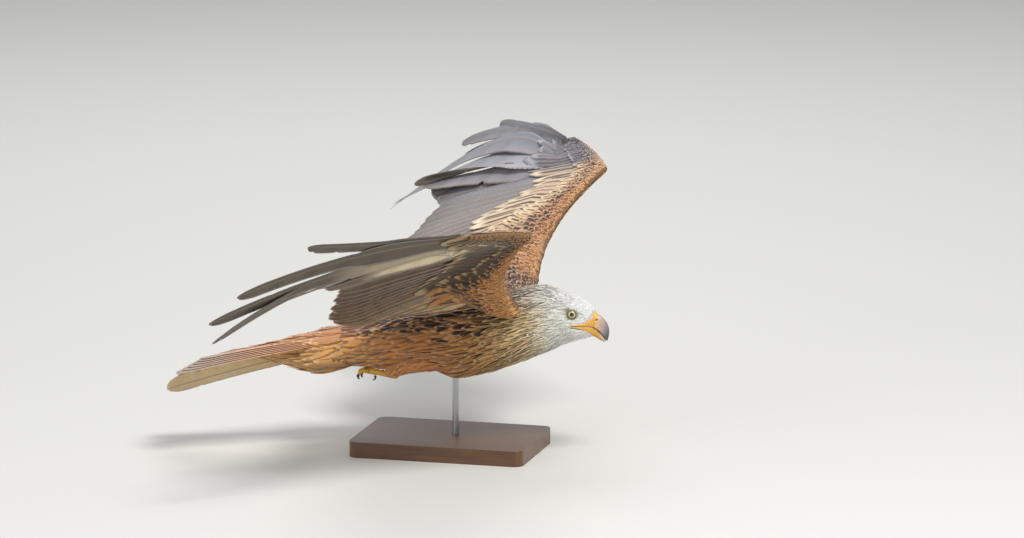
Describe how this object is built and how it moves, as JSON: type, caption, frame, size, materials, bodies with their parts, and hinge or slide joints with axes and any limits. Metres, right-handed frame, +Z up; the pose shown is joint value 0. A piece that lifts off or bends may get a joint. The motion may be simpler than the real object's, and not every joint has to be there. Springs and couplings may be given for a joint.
{
  "type": "red kite",
  "caption": "Life-size bird of prey in flight with raised, swept wings and a forked tail, on a rod over a flat wooden base.",
  "frame": {"origin": "centre of the underside of the display stand's base", "axes": "+X ahead of the bird, +Y to its left, +Z up"},
  "size_m": [0.6203, 1.0677, 0.412],
  "materials": {
    "body_plumage": "matt orange-rufous body feathers with narrow dark shaft streaks",
    "head_plumage": "matt pale grey-white head feathers with fine dark streaks",
    "wing_plumage": "satin flight feathers, rufous coverts with dark centres",
    "tail_plumage": "satin salmon-rufous tail feathers, cream beneath",
    "bill": "smooth horn, yellow at the base and dark grey at the tip",
    "eye": "wet, clear, pale cream iris with a black pupil",
    "foot_skin": "scaled yellow skin",
    "claw": "smooth black horn",
    "stand_wood": "dark stained wood with a satin lacquer",
    "stand_steel": "brushed steel rod"
  },
  "bodies": {
    "root": {"torso": "body_plumage", "neck": "body_plumage", "head": "head_plumage", "bill_upper": "bill", "bill_lower": "bill", "eye_right": "eye", "eye_left": "eye", "wing_right_arm": "wing_plumage", "wing_right_hand": "wing_plumage", "wing_left_arm": "wing_plumage", "wing_left_hand": "wing_plumage", "tail": "tail_plumage", "leg_right": "body_plumage", "leg_left": "body_plumage", "foot_right": "foot_skin", "foot_left": "foot_skin", "claw_right_outer": "claw", "claw_right_middle": "claw", "claw_right_inner": "claw", "claw_right_hind": "claw", "claw_left_outer": "claw", "claw_left_middle": "claw", "claw_left_inner": "claw", "claw_left_hind": "claw", "stand_base": "stand_wood", "stand_rod": "stand_steel"}
  },
  "joints": []
}
